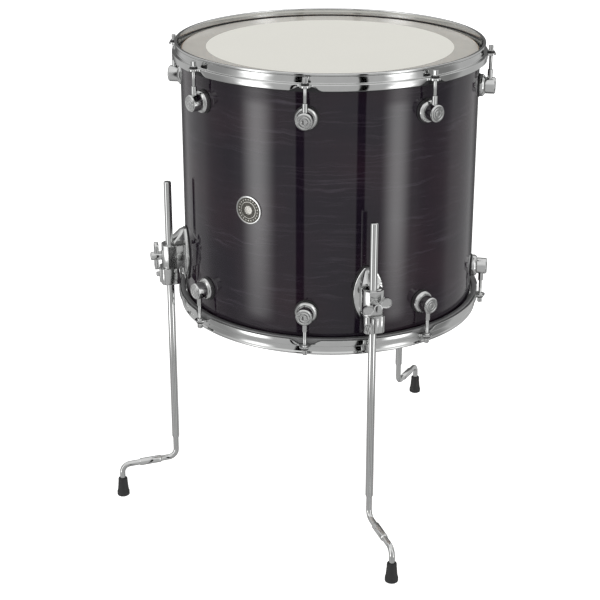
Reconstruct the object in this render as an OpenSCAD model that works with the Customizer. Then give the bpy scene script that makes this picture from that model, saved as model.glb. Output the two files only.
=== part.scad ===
// Floor tom drum: wooden shell, two heads under flanged hoops, turret lugs and three adjustable legs.
// Origin on the drum's axis at floor level, +Z up, the badge faces -Y. All sizes in millimetres.

/* [Shell] */
// Outer diameter of the shell
shell_od = 406.4; // [330:0.1:500]
// Length of the shell between its bearing edges
shell_len = 355.6; // [290:0.1:440]
// Thickness of the shell wall
shell_wall = 7; // [5:0.1:9]
// Height of the shell's lower edge above the floor
shell_lift = 296.4; // [245:0.1:370]
// Height of the rounded outside of each bearing edge
edge_h = 3.5; // [2.5:0.1:4.5]
// Height of each inner reinforcement ring
ring_h = 25; // [15:0.5:32]
// Thickness of each inner reinforcement ring
ring_t = 6; // [4:0.1:8]

/* [Heads] */
// Thickness of the drum head film
film_t = 0.3; // [0.2:0.05:0.5]
// Gap between the shell and the flesh hoop
flesh_gap = 1.8; // [1.4:0.1:3]
// Width of the flesh hoop's section
flesh_w = 6; // [5:0.1:7.5]
// Height of the flesh hoop's section
flesh_h = 8; // [6:0.1:9.6]

/* [Hoops] */
// Sheet thickness of the steel hoops
hoop_t = 2.3; // [1.6:0.1:2.8]
// Height of the rim's lip above the bearing edge
rim_h = 10; // [7:0.1:14]
// Depth of the hoop's ledge below the bearing edge
ledge_drop = 3; // [2:0.1:3.6]
// Height of the hoop's outer skirt
skirt_h = 8.5; // [6:0.1:12]
// Width of the tab at each rod
ear_w = 14; // [12:0.1:18]
// Distance from the skirt's outside to the rods
ear_reach = 3.5; // [3:0.1:5]

/* [Tension rods and lugs] */
// Number of rods on each hoop
rod_count = 8; // [6:1:8]
// Diameter of the rods
rod_d = 4.6; // [4:0.1:5.6]
// Width of the square key head across flats
key_w = 5.6; // [4.6:0.1:6.4]
// Height of the square key head
key_h = 6; // [5:0.1:8]
// Distance of each lug's centre from its bearing edge
lug_inset = 47.8; // [38:0.1:60]
// Outer diameter of the lug's base
lug_base_d = 29; // [26:0.1:35]
// Outer diameter of the lug's cap
lug_cap_d = 22.4; // [19:0.1:25]
// Distance of the lug's face beyond the rod's axis
lug_face = 8.1; // [7:0.1:11]
// Outer diameter of the swivel nut's tube
tube_d = 7; // [6.2:0.1:8]
// Reach of the swivel nut's tube from the lug's centre
tube_len = 22; // [18:0.1:27]

/* [Leg brackets] */
// Distance of the leg's axis from the outside of the shell
leg_gap = 24.8; // [22:0.1:30]
// Height of each bracket block's centre above the floor
bracket_z = 367.5; // [330:0.1:430]
// Width of the bracket's base plate
plate_w = 40; // [34:0.1:48]
// Height of the bracket's base plate
plate_h = 76; // [70:0.1:92]
// Thickness of the bracket's base plate
plate_t = 3.5; // [2.5:0.1:5]
// Width of the block around the leg
block_w = 27; // [24:0.1:33]
// Height of the block around the leg
block_h = 33; // [27:0.1:36]
// Diameter of the wing bolt's thread
wing_thread_d = 8; // [6.5:0.1:9.6]
// Overall span of the wing bolt's wings
wing_span = 40; // [34:0.1:48]

/* [Legs] */
// Diameter of the leg rod
leg_d = 10.5; // [9:0.1:12.6]
// Diameter of the leg where it is turned down
leg_thin_d = 8; // [7:0.1:8.9]
// Height of the top of the legs
leg_top = 474.2; // [430:0.1:560]
// Height where the turned-down part of a leg begins
leg_step = 84.7; // [75:0.1:110]
// Height of the first bend's corner
leg_bend_z = 52.4; // [46:0.1:64]
// Distance from the leg's axis to the foot's axis
leg_offset = 80; // [70:0.1:96]
// Slope of the leg's lower arm
arm_slope = 3; // [0:0.5:6]
// Centreline radius of the leg's bends
bend_r = 12; // [10:0.1:14]
// Diameter of the foot's tread
foot_d = 18; // [15:0.1:22]
// Height of the foot
foot_h = 28; // [23:0.1:32]
// Height of the memory lock
lock_h = 24; // [20:0.1:29]
// Diameter of the memory lock
lock_d = 27; // [24:0.1:29]

/* [Badge] */
// Diameter of the round badge
badge_d = 38; // [30:0.1:48]
// Thickness of the badge
badge_t = 1.4; // [1:0.1:2]

/* [Hidden] */
// clearances
glue_gap = 0.05;
press_gap = 0.02;
turn_gap = 0.08;
slide_gap = 0.25;
seat_gap = 0.05;
hoop_gap = 0.7;

// shell
shell_r = shell_od / 2;
shell_in = shell_r - shell_wall;
shell_top = shell_lift + shell_len;
shell_mid = shell_lift + shell_len / 2;
ring_out = shell_in - glue_gap;
ring_in = ring_out - ring_t;
edge_r = shell_r - edge_h;

// heads and hoops, outwards from the shell
flesh_in = shell_r + flesh_gap;
flesh_out = flesh_in + flesh_w;
flesh_top = -ledge_drop - hoop_t - seat_gap;
rim_in = flesh_in + 1.5;
rim_out = rim_in + hoop_t;
lip_w = 1.7;
skirt_in = flesh_out + hoop_gap;
skirt_out = skirt_in + hoop_t;
rod_r = skirt_out + ear_reach;
ear_hole_d = rod_d + 1.4;
cut_wide = 20;
cut_narrow = ear_w / 2 + 1;
// the tab is a hair thinner than the ledge that it grows from
ear_t = hoop_t - 0.1;
ear_low = -ledge_drop - hoop_t + 0.05;
collar_h = 4.2;
collar_top_d = ear_hole_d + 4;
collar_end_d = ear_hole_d + 1.6;

// rods, their washers and the lugs; "out" is a distance from the drum's axis
washer_t = 2.2;
washer_d = 10.4;
flange_t = 1.6;
flange_d = 8.6;
head_z = -ledge_drop + washer_t + 2 * seat_gap;
rod_end_z = -lug_inset - 4;
nut_bore_d = rod_d + 2 * turn_gap;
gasket_t = 1.5;
gasket_d = lug_base_d + 3;
base_out = shell_r + 8.2;
face_out = rod_r + lug_face;
barrel_d = tube_d + 4.6;
barrel_in = rod_r - barrel_d / 2 + 0.6;
barrel_end = rod_r + barrel_d / 2 - 0.8;
pocket_d = barrel_d + 0.4;
boss_d = pocket_d - 2 * press_gap;
boss_out = barrel_in - 0.2;
lug_screw_d = 5;
lug_screw_end = boss_out - 1.5;
lug_hole_d = lug_screw_d + 0.8;
lug_head_d = 9;
lug_head_t = 3.2;
lug_washer_d = 13;
lug_washer_t = 1.2;

// brackets; heights are from bracket_z
leg_r = shell_r + leg_gap;
leg_bore_d = leg_d + 2 * slide_gap;
bracket_angles = [45, -45, 180];
seat_out = shell_r + gasket_t;
plate_out = seat_out + plate_t;
plate_lift = 1.5;
block_top = block_h / 2;
block_low = -block_h / 2;
block_front = leg_r + leg_d / 2 + 5;
boss_front = block_front + 1.2;
wing_boss_d = wing_thread_d + 7;
bolt_hole_d = wing_thread_d + 2 * turn_gap;
shoe_t = 2.2;
shoe_d = wing_thread_d - 0.4;
shoe_in = leg_r + leg_d / 2 - 0.6;
bolt_tip = shoe_in + shoe_t + seat_gap;
hub_d = wing_thread_d + 4;
hub_in = boss_front + 0.3;
hub_out = leg_r + 26.5;
lock_rib = 1.4;
// the wings pass in front of the memory lock when they turn
wing_in = leg_r + lock_d / 2 + lock_rib + 0.6;
wing_t = 6;
wing_turns = [20, 90, 65];
bracket_screw_d = 6;
bracket_screw_zs = [block_top + 13.5, block_low - 6.5];
bracket_screw_ends = [plate_out + 4.5, plate_out + 0.8];
bracket_hole_d = bracket_screw_d + 0.8;
bracket_head_d = 11;
bracket_head_t = 4;
bracket_washer_d = 18;
bracket_washer_t = 1.5;

// memory locks
lock_top = block_low - 0.3;
lock_z = bracket_z + lock_top - lock_h;
lock_bore_d = leg_d + 2 * turn_gap;
lock_slit = 1.6;
tab_w = 5;
tab_d = 8;
tab_h = 4;
key_bolt_d = 4.6;
key_bolt_side = lock_d / 2 - 3.6;
key_bolt_z = lock_z + lock_h * 0.4;
key_flat = lock_d / 2 - 2.2;

// legs and feet
leg_turns = [6.5, 1.7, 6.4];
turn_angle = 90 - arm_slope;
bend_reach = bend_r * tan(turn_angle / 2);
foot_bend_z = leg_bend_z - leg_offset * tan(arm_slope);
arm_len = leg_offset / cos(arm_slope);
arm_thick_len = 30;
arm_thick_at = arm_len * 0.48;
// the straights are a hair thicker than the bends and lap over their ends
straight_d = leg_thin_d + 0.05;
bend_lap = 0.4;
foot_top_d = leg_thin_d + 4.6;
leg_end_z = 6;

// badge and vent
badge_angle = 0;
vent_angle = 225;
vent_d = 11;
vent_tube_d = vent_d - 0.4;
vent_flange_d = 22;
vent_nut_d = 18;
vent_flange_t = 1.6;
vent_nut_t = 3;

rod_names = [for (i = [1:2 * rod_count]) str("tension_rod_", i < 10 ? "0" : "", i)];

// ---- placing helpers ----
// Turns +X towards an angle counted from the front (-Y) towards +X.
module face_angle(a) { rotate([0, 0, a - 90]) children(); }

// Places children drawn about +X, looking outwards, at an angle and a height.
module on_side(a, z) { face_angle(a) translate([0, 0, z]) children(); }

// Puts the bearing edge at z = 0 with +Z pointing out of the drum: end 1 is the top, -1 the bottom.
module at_end(end) {
    if (end > 0) translate([0, 0, shell_top]) children();
    else translate([0, 0, shell_lift]) mirror([0, 0, 1]) children();
}

function lug_angle(i) = 360 / rod_count * (i + 0.5);

module each_lug() {
    for (end = [1, -1]) at_end(end)
        for (i = [0:rod_count - 1]) on_side(lug_angle(i), -lug_inset) children();
}

module each_bracket() {
    for (a = bracket_angles) on_side(a, bracket_z) children();
}

// A round bar along +X from one distance to another.
module out_bar(d, from, to) {
    translate([from, 0, 0]) rotate([0, 90, 0]) cylinder(h = to - from, d = d, $fn = 48);
}

// A round bar along +X that tapers.
module out_cone(d1, d2, from, to) {
    translate([from, 0, 0]) rotate([0, 90, 0]) cylinder(h = to - from, d1 = d1, d2 = d2, $fn = 48);
}

module tube(outer, inner, h) {
    difference() {
        cylinder(h = h, r = outer, $fn = 180);
        translate([0, 0, -1]) cylinder(h = h + 2, r = inner, $fn = 180);
    }
}

// ---- shell ----
module shell() {
    color([0.19, 0.17, 0.20]) difference() {
        translate([0, 0, shell_mid]) rotate_extrude($fn = 180) shell_section();
        each_lug() out_bar(lug_hole_d, shell_in - 5, shell_r + 5);
        each_bracket() for (z = bracket_screw_zs) translate([0, 0, z])
            out_bar(bracket_hole_d, shell_in - 5, shell_r + 5);
        on_side(vent_angle, shell_mid) out_bar(vent_d, shell_in - 5, shell_r + 5);
    }
}

// Half a wall section: the outside is rounded over at both ends and the inside slopes at 45 degrees.
module shell_section() {
    h = shell_len / 2;
    slope = edge_r - shell_in;
    over = [for (a = [0:15:90]) [edge_r + edge_h * cos(a), h - edge_h + edge_h * sin(a)]];
    under = [for (i = [len(over) - 1:-1:0]) [over[i][0], -over[i][1]]];
    polygon(concat(over, [[shell_in, h - slope], [shell_in, -h + slope]], under));
}

// The ring carries the 45 degree slope of the bearing edge on inwards.
module reinforcement_ring(end) {
    slope = edge_r - shell_in + glue_gap;
    color([0.62, 0.47, 0.31]) at_end(end) rotate_extrude($fn = 180) polygon([
        [ring_out, -slope], [ring_in, -slope - ring_t], [ring_in, -ring_h], [ring_out, -ring_h]]);
}

// ---- heads ----
// The film lies on the bearing edge and turns down outside the shell into its flesh hoop.
module head_film(end) {
    side = flesh_in - glue_gap;
    low = flesh_top - flesh_h * 0.6;
    bend = flesh_top + 0.6;
    under = [for (a = [90:-15:30]) edge_point(edge_h + seat_gap, a)];
    over = [for (a = [30:15:90]) edge_point(edge_h + seat_gap + film_t, a)];
    color([0.87, 0.86, 0.84]) at_end(end) rotate_extrude($fn = 180) polygon(concat(
        [[0, seat_gap]], under, [[side - film_t, bend], [side - film_t, low], [side, low],
        [side, bend + film_t]], over, [[0, seat_gap + film_t]]));
}

// A point on an arc about the centre of the bearing edge's rounding.
function edge_point(r, a) = [edge_r + r * cos(a), -edge_h + r * sin(a)];

module flesh_hoop(end) {
    color([0.72, 0.72, 0.73]) at_end(end) translate([0, 0, flesh_top - flesh_h])
        tube(flesh_out, flesh_in, flesh_h);
}

// ---- hoops ----
module hoop(end) {
    color([0.80, 0.81, 0.82]) at_end(end) difference() {
        union() {
            rotate_extrude($fn = 180) hoop_section();
            for (i = [0:rod_count - 1]) face_angle(lug_angle(i)) ear();
        }
        for (i = [0:rod_count - 1]) face_angle(lug_angle(i)) {
            skirt_cut();
            translate([rod_r, 0, -30]) cylinder(h = 60, d = ear_hole_d, $fn = 48);
        }
    }
}

// Rim wall with a rolled lip, ledge over the flesh hoop, and outer skirt.
module hoop_section() {
    lip = 1.2;
    low = -ledge_drop - skirt_h;
    polygon([
        [rim_in, -ledge_drop - hoop_t], [rim_in, rim_h - lip], [rim_in + lip * 0.35, rim_h - lip * 0.3],
        [rim_in + lip, rim_h], [rim_out + lip_w - lip * 0.7, rim_h],
        [rim_out + lip_w - lip * 0.2, rim_h - lip * 0.25], [rim_out + lip_w, rim_h - lip],
        [rim_out + lip_w, rim_h - lip - 1], [rim_out + 0.5, rim_h - lip - 2], [rim_out, rim_h - lip - 2.6],
        [rim_out, -ledge_drop + 0.8], [rim_out + 0.8, -ledge_drop], [skirt_out - 1.4, -ledge_drop],
        [skirt_out - 0.4, -ledge_drop - 0.4], [skirt_out, -ledge_drop - 1.4],
        [skirt_out, low + 0.6], [skirt_out - 0.6, low], [skirt_in + 0.5, low], [skirt_in, low + 0.5],
        [skirt_in, -ledge_drop - hoop_t]]);
}

// A flat tab with a drawn collar round the rod's hole.
module ear() {
    root = rim_out - 1;
    translate([0, 0, ear_low]) linear_extrude(ear_t) union() {
        translate([rod_r, 0]) circle(d = ear_w, $fn = 64);
        polygon([[root, ear_w * 0.8], [rod_r, ear_w / 2], [rod_r, -ear_w / 2], [root, -ear_w * 0.8]]);
    }
    translate([rod_r, 0, ear_low - collar_h])
        cylinder(h = collar_h + ear_t / 2, d1 = collar_end_d, d2 = collar_top_d, $fn = 48);
}

// The skirt sweeps up to the tab at each side of a rod.
module skirt_cut() {
    top = -ledge_drop - hoop_t - 0.15;
    low = -ledge_drop - skirt_h - 1;
    steps = 8;
    half = [for (i = [0:steps]) let (t = i / steps)
        [cut_narrow + (cut_wide - cut_narrow) * t, top + (low - top) * (1 - cos(180 * t)) / 2]];
    other = [for (i = [steps:-1:0]) [-half[i][0], half[i][1]]];
    translate([flesh_out + 0.1, 0, 0]) rotate([90, 0, 90])
        linear_extrude(hoop_gap + hoop_t + 0.4) polygon(concat(half, other));
}

// ---- tension rods ----
module rod_washers() {
    color([0.05, 0.05, 0.05]) for (end = [1, -1]) at_end(end)
        for (i = [0:rod_count - 1]) face_angle(lug_angle(i))
            translate([rod_r, 0, -ledge_drop + seat_gap]) difference() {
                cylinder(h = washer_t, d = washer_d, $fn = 48);
                translate([0, 0, -1]) cylinder(h = washer_t + 2, d = rod_d + 0.6, $fn = 48);
            }
}

// Rod number i: the first rod_count are on the upper hoop, the others on the lower one.
module tension_rod(i) {
    color([0.82, 0.83, 0.84]) at_end(i <= rod_count ? 1 : -1)
        face_angle(lug_angle((i - 1) % rod_count)) translate([rod_r, 0, 0]) {
            translate([0, 0, rod_end_z]) cylinder(h = head_z - rod_end_z + 0.1, d = rod_d, $fn = 48);
            translate([0, 0, head_z]) cylinder(h = flange_t, d1 = flange_d, d2 = flange_d - 1, $fn = 48);
            translate([0, 0, head_z + flange_t - 0.1]) key_head(key_w, key_h + 0.1);
        }
}

// A square head with its top corners turned off.
module key_head(w, h) {
    intersection() {
        translate([-w / 2, -w / 2, 0]) cube([w, w, h]);
        cylinder(h = h, d1 = w * 1.414 + 2 * h, d2 = w, $fn = 48);
    }
}

// ---- lugs ----
module lug_gaskets() {
    color([0.04, 0.04, 0.04]) intersection() {
        translate([0, 0, shell_lift]) tube(shell_r + gasket_t - seat_gap, shell_r + seat_gap, shell_len);
        each_lug() difference() {
            out_bar(gasket_d, shell_r - 5, shell_r + 5);
            out_bar(lug_hole_d, shell_r - 6, shell_r + 6);
        }
    }
}

// The base seats on the gasket, and its boss closes the back of the cap.
module lug_bases() {
    color([0.80, 0.81, 0.82]) each_lug() difference() {
        union() {
            out_bar(lug_base_d, shell_r, base_out - 3.2);
            out_cone(lug_base_d, lug_base_d - 1.2, base_out - 3.2, base_out - 1.8);
            out_cone(lug_base_d - 1.2, lug_cap_d + 1.6, base_out - 1.8, base_out);
            out_bar(boss_d, base_out - 1, boss_out);
        }
        translate([0, 0, -lug_base_d]) cylinder(h = 2 * lug_base_d, r = shell_r + gasket_t, $fn = 180);
        out_bar(lug_screw_d + 2 * press_gap, shell_r - 5, lug_screw_end + 0.4);
    }
}

module lug_caps() {
    color([0.82, 0.83, 0.84]) each_lug() difference() {
        union() {
            out_bar(lug_cap_d, base_out + seat_gap, face_out - 1.6);
            out_cone(lug_cap_d, lug_cap_d - 1, face_out - 1.6, face_out - 0.6);
            out_cone(lug_cap_d - 1, lug_cap_d - 3, face_out - 0.6, face_out);
        }
        out_bar(pocket_d, base_out - 1, barrel_end + 0.2);
        translate([rod_r, 0, 0]) cylinder(h = lug_cap_d, d = tube_d + 1, $fn = 48);
        translate([rod_r, 0, -lug_cap_d / 4]) cylinder(h = lug_cap_d / 4, d = rod_d + 1, $fn = 48);
        difference() {
            out_bar(lug_cap_d - 7, face_out - 0.5, face_out + 1);
            out_bar(lug_cap_d - 10, face_out - 1, face_out + 2);
        }
    }
}

// A barrel that can rock in the cap, with a threaded tube towards the hoop.
module lug_swivel_nuts() {
    color([0.78, 0.79, 0.80]) each_lug() difference() {
        union() {
            out_bar(barrel_d, barrel_in, barrel_end);
            translate([rod_r, 0, 0]) cylinder(h = tube_len - 0.6, d = tube_d, $fn = 48);
            translate([rod_r, 0, tube_len - 0.6]) cylinder(h = 0.6, d1 = tube_d, d2 = tube_d - 1, $fn = 48);
        }
        translate([rod_r, 0, -barrel_d]) cylinder(h = barrel_d + tube_len + 1, d = nut_bore_d, $fn = 48);
    }
}

// Flat washers touch the round wall at their edges, so they stand in from it by the wall's bow.
function wall_seat(d) = sqrt(pow(shell_in, 2) - pow(d / 2, 2)) - seat_gap;

module lug_screws() {
    seat = wall_seat(lug_washer_d) - lug_washer_t - seat_gap;
    color([0.70, 0.70, 0.70]) each_lug() {
        out_bar(lug_head_d, seat - lug_head_t, seat);
        out_bar(lug_screw_d, seat - 1, lug_screw_end);
    }
}

module lug_screw_washers() {
    seat = wall_seat(lug_washer_d);
    color([0.66, 0.66, 0.66]) each_lug() difference() {
        out_bar(lug_washer_d, seat - lug_washer_t, seat);
        out_bar(lug_screw_d + 0.6, seat - 5, seat + 5);
    }
}

// ---- leg brackets ----
// The plate's outline is a lens: two arcs that meet at the top and bottom, with blunt tips.
module lens(w, h, from, to) {
    r = (pow(w / 2, 2) + pow(h * 0.56, 2)) / w;
    intersection() {
        translate([0, r - w / 2, plate_lift]) out_lens_bar(r, from, to);
        translate([0, w / 2 - r, plate_lift]) out_lens_bar(r, from, to);
        translate([0, 0, plate_lift]) out_lens_bar(h / 2, from, to);
    }
}

module out_lens_bar(r, from, to) {
    translate([from, 0, 0]) rotate([0, 90, 0]) cylinder(h = to - from, r = r, $fn = 120);
}

// A vertical wall that follows the shell, between two distances from the drum's axis.
module bent_wall(inner, outer, h) {
    translate([0, 0, -h / 2]) tube(outer, inner, h);
}

module bracket_gaskets() {
    color([0.04, 0.04, 0.04]) each_bracket() difference() {
        intersection() {
            lens(plate_w + 2.4, plate_h + 2.4, shell_r - 6, shell_r + 6);
            bent_wall(shell_r + seat_gap, seat_out - seat_gap, 2 * plate_h);
        }
        for (z = bracket_screw_zs) translate([0, 0, z]) out_bar(bracket_hole_d, shell_r - 8, shell_r + 8);
    }
}

module bracket_bodies() {
    color([0.80, 0.81, 0.82]) each_bracket() difference() {
        union() {
            intersection() {
                lens(plate_w, plate_h, shell_r - 6, plate_out + 6);
                bent_wall(seat_out, plate_out, 2 * plate_h);
            }
            difference() {
                union() {
                    block();
                    hood();
                    web();
                    out_bar(wing_boss_d, block_front - 1, boss_front);
                }
                translate([0, 0, -plate_h]) cylinder(h = 2 * plate_h, r = plate_out - 0.5, $fn = 180);
            }
        }
        translate([leg_r, 0, -plate_h]) cylinder(h = 2 * plate_h, d = leg_bore_d, $fn = 48);
        out_bar(bolt_hole_d, leg_r, boss_front + 5);
        for (side = [-1, 1]) translate([leg_r, side * (lock_d / 2 - 3.5), block_low])
            translate([-tab_d / 2 - 0.3, -tab_w / 2 - 0.3, -1]) cube([tab_d + 0.6, tab_w + 0.6, tab_h + 1.3]);
        for (k = [0, 1]) translate([0, 0, bracket_screw_zs[k]])
            out_bar(bracket_screw_d + 2 * press_gap, shell_r - 6, bracket_screw_ends[k] + 0.4);
    }
}

// The block holds the leg; its front is a blunt prow, and a groove marks each cheek.
module block() {
    back = plate_out - 3;
    cheek = block_w / 2;
    groove = leg_r - leg_d / 2 - 1.5;
    translate([0, 0, block_low]) linear_extrude(block_h) polygon([
        [back, -cheek + 1.5], [groove - 1.2, -cheek], [groove - 0.4, -cheek + 0.8],
        [groove + 0.4, -cheek + 0.8], [groove + 1.2, -cheek], [leg_r + 3.5, -cheek],
        [leg_r + 7, -cheek + 2.2], [block_front, -wing_boss_d / 2], [block_front, wing_boss_d / 2],
        [leg_r + 7, cheek - 2.2], [leg_r + 3.5, cheek], [groove + 1.2, cheek],
        [groove + 0.4, cheek - 0.8], [groove - 0.4, cheek - 0.8], [groove - 1.2, cheek],
        [back, cheek - 1.5]]);
}

// A sloping hood reaches from the plate's top to the leg, with an open window below it.
module hood() {
    top = plate_h / 2 + plate_lift;
    back = plate_out - 3;
    tip = leg_r - leg_d / 2 + 0.8;
    window = block_top + 7.5;
    intersection() {
        rotate([90, 0, 0]) translate([0, 0, -block_w]) linear_extrude(2 * block_w) polygon([
            [back, window], [tip - 5, window - 0.5], [tip - 1, block_top + 2.6], [tip, block_top + 3.2],
            [tip, block_top + 6], [plate_out + 4, top - 3.5], [plate_out, top - 1.5], [back, top - 1.5]]);
        rotate([90, 0, 90]) translate([0, 0, back - 1]) linear_extrude(tip - back + 2) polygon([
            [-block_w / 2, block_top], [block_w / 2, block_top], [block_w / 2, block_top + 5],
            [6.5, top - 4], [3, top], [-3, top], [-6.5, top - 4], [-block_w / 2, block_top + 5]]);
    }
}

// A web tapers from the block down the plate.
module web() {
    back = plate_out - 3;
    low = -plate_h / 2 + plate_lift + 4;
    lock_back = leg_r - lock_d / 2 - 1;
    rotate([90, 0, 0]) translate([0, 0, -10]) linear_extrude(20) polygon([
        [back, block_low + 1], [lock_back, block_low + 1], [lock_back, block_low - 1],
        [plate_out + 2, low + 4], [plate_out, low], [back, low]]);
}

module bracket_screws() {
    seat = wall_seat(bracket_washer_d) - bracket_washer_t - seat_gap;
    color([0.70, 0.70, 0.70]) each_bracket() for (k = [0, 1]) translate([0, 0, bracket_screw_zs[k]]) {
        out_bar(bracket_head_d, seat - bracket_head_t, seat);
        out_bar(bracket_screw_d, seat - 1, bracket_screw_ends[k]);
    }
}

module bracket_screw_washers() {
    seat = wall_seat(bracket_washer_d);
    color([0.66, 0.66, 0.66]) each_bracket() for (z = bracket_screw_zs) translate([0, 0, z]) difference() {
        out_bar(bracket_washer_d, seat - bracket_washer_t, seat);
        out_bar(bracket_screw_d + 0.6, seat - 5, seat + 5);
    }
}

// The shoe has a hollow face that bears on the leg.
module clamp_shoes() {
    color([0.75, 0.62, 0.35]) each_bracket() difference() {
        out_bar(shoe_d, shoe_in, shoe_in + shoe_t);
        translate([leg_r, 0, -20]) cylinder(h = 40, d = leg_d + 2 * turn_gap, $fn = 48);
    }
}

module wing_bolt(n) {
    color([0.82, 0.83, 0.84]) on_side(bracket_angles[n - 1], bracket_z) rotate([wing_turns[n - 1], 0, 0]) {
        out_bar(wing_thread_d, bolt_tip, hub_in + 1);
        out_bar(hub_d, hub_in, hub_out - 1);
        out_cone(hub_d, hub_d - 2, hub_out - 1, hub_out);
        for (s = [0, 180]) rotate([s, 0, 0]) wing();
    }
}

// One wing, flared towards its rounded tip.
module wing() {
    root = hub_d / 2 - 1;
    end = wing_span / 2;
    tip_r = 7.2;
    translate([wing_in, 0, 0]) rotate([90, 0, 90]) linear_extrude(wing_t) union() {
        translate([end - tip_r, 0]) circle(r = tip_r, $fn = 64);
        polygon([[root, -4.2], [end - tip_r, -tip_r], [end - tip_r, tip_r], [root, 4.2]]);
    }
}

// ---- memory locks ----
// A split collar on the leg; two tabs on top nest in the bracket, and a key bolt closes the slit.
module memory_lock(n) {
    r = lock_d / 2;
    color([0.80, 0.81, 0.82]) on_side(bracket_angles[n - 1], lock_z) translate([leg_r, 0, 0])
        difference() {
            union() {
                intersection() {
                    translate([-r, -r - 0.5, 0]) cube([2 * r, 2 * r + 1, lock_h]);
                    cylinder(h = lock_h, d1 = lock_d * 1.02, d2 = lock_d * 1.36, $fn = 64);
                    cylinder(h = lock_h, d = lock_d * 1.2, $fn = 64);
                }
                translate([r - 1, -leg_d * 0.36, 1.5]) cube([1 + lock_rib, leg_d * 0.72, lock_h - 3]);
                for (side = [-1, 1])
                    translate([-tab_d / 2, side * (r - 3.5) - tab_w / 2, lock_h - 0.5])
                        cube([tab_d, tab_w, tab_h + 0.5]);
            }
            translate([0, 0, -1]) cylinder(h = lock_h + tab_h + 2, d = lock_bore_d, $fn = 48);
            translate([-lock_slit / 2, -lock_d, -1]) cube([lock_slit, lock_d, lock_h + tab_h + 2]);
            translate([0, -key_bolt_side, key_bolt_z - lock_z]) {
                out_bar(key_bolt_d + 2 * turn_gap, -lock_d, lock_d);
                out_bar(key_bolt_d + 4.4, key_flat, lock_d);
                out_bar(key_bolt_d + 4.4, -lock_d, -key_flat);
            }
        }
}

module lock_key_bolt(n) {
    color([0.82, 0.83, 0.84]) on_side(bracket_angles[n - 1], key_bolt_z)
        translate([leg_r, -key_bolt_side, 0]) {
            out_bar(key_bolt_d, -key_flat - 2, key_flat + 0.5);
            out_bar(key_bolt_d + 3.2, key_flat + 0.15, key_flat + 2);
            translate([key_flat + 1.9, 0, 0]) rotate([0, 90, 0]) key_head(key_w, key_h * 0.8);
        }
}

// ---- legs ----
// In the leg's own frame its upright lies on the Z axis and the arm runs along +X.
module at_leg(n) {
    face_angle(bracket_angles[n - 1]) translate([leg_r, 0, 0]) rotate([0, 0, leg_turns[n - 1]]) children();
}

module leg(n) {
    start_z = leg_bend_z + bend_reach;
    end_z = foot_bend_z - bend_reach;
    color([0.80, 0.81, 0.82]) at_leg(n) {
        translate([0, 0, leg_step]) cylinder(h = leg_top - leg_step - 1.2, d = leg_d, $fn = 48);
        translate([0, 0, leg_top - 1.2]) cylinder(h = 1.2, d1 = leg_d, d2 = leg_d - 2.4, $fn = 48);
        translate([0, 0, leg_step - 2]) cylinder(h = 2, d1 = leg_thin_d, d2 = leg_d, $fn = 48);
        translate([0, 0, start_z - bend_lap])
            cylinder(h = leg_step - 2 - start_z + 2 * bend_lap, d = straight_d, $fn = 48);
        translate([bend_r, 0, start_z]) rotate([90, 0, 0]) rotate([0, 0, 180]) bend();
        translate([0, 0, leg_bend_z]) rotate([0, arm_slope, 0]) arm();
        translate([leg_offset - bend_r, 0, end_z]) rotate([90, 0, 0]) bend();
        translate([leg_offset, 0, leg_end_z])
            cylinder(h = end_z - leg_end_z + bend_lap, d = straight_d, $fn = 48);
    }
}

module bend() {
    rotate_extrude(angle = turn_angle, $fn = 96) translate([bend_r, 0]) circle(d = leg_thin_d, $fn = 48);
}

// The arm is left at full diameter in its middle.
module arm() {
    half = arm_thick_len / 2;
    out_bar(straight_d, bend_reach - bend_lap, arm_len - bend_reach + bend_lap);
    out_cone(leg_thin_d, leg_d, arm_thick_at - half - 1.6, arm_thick_at - half);
    out_bar(leg_d, arm_thick_at - half, arm_thick_at + half);
    out_cone(leg_d, leg_thin_d, arm_thick_at + half, arm_thick_at + half + 1.6);
}

// A rubber foot, pushed on the leg's end.
module foot(n) {
    color([0.05, 0.05, 0.05]) at_leg(n) translate([leg_offset, 0, 0]) rotate_extrude($fn = 64) polygon([
        [0, 0], [foot_d / 2 - 0.8, 0], [foot_d / 2, 0.8], [foot_d / 2, 6], [foot_d / 2 - 1, 10],
        [foot_top_d / 2 + 0.2, foot_h - 4], [foot_top_d / 2, foot_h - 1], [foot_top_d / 2 - 0.8, foot_h],
        [straight_d / 2 + press_gap, foot_h], [straight_d / 2 + press_gap, leg_end_z - 0.2],
        [0, leg_end_z - 0.2]]);
}

// ---- badge and vent ----
// A round plate bent to the shell, with a raised rim and a raised inner ring.
module badge() {
    color([0.70, 0.71, 0.72]) on_side(badge_angle, shell_mid) difference() {
        intersection() {
            bent_wall(shell_r + seat_gap, shell_r + badge_t, badge_d * 1.5);
            out_bar_fine(badge_d, shell_r - 6, shell_r + 6);
        }
        badge_groove(badge_d - 3.4, badge_d * 0.62);
        badge_groove(badge_d * 0.62 - 2.4, 6);
    }
}

module out_bar_fine(d, from, to) {
    translate([from, 0, 0]) rotate([0, 90, 0]) cylinder(h = to - from, d = d, $fn = 96);
}

module badge_groove(outer, inner) {
    difference() {
        intersection() {
            bent_wall(shell_r + badge_t - 0.5, shell_r + badge_t + 3, badge_d * 1.5);
            out_bar_fine(outer, shell_r - 6, shell_r + 6);
        }
        out_bar_fine(inner, shell_r - 7, shell_r + 7);
    }
}

// A flanged tube through the wall, held by a nut inside.
module vent_grommet() {
    face = shell_r + seat_gap + vent_flange_t;
    color([0.80, 0.81, 0.82]) on_side(vent_angle, shell_mid) difference() {
        union() {
            out_bar(vent_flange_d, shell_r + seat_gap, face - 0.6);
            out_cone(vent_flange_d, vent_flange_d - 1.6, face - 0.6, face);
            out_bar(vent_tube_d, wall_seat(vent_nut_d) - vent_nut_t - 1, face - 0.6);
        }
        out_bar(vent_tube_d - 3, shell_in - 20, face + 5);
    }
}

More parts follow.
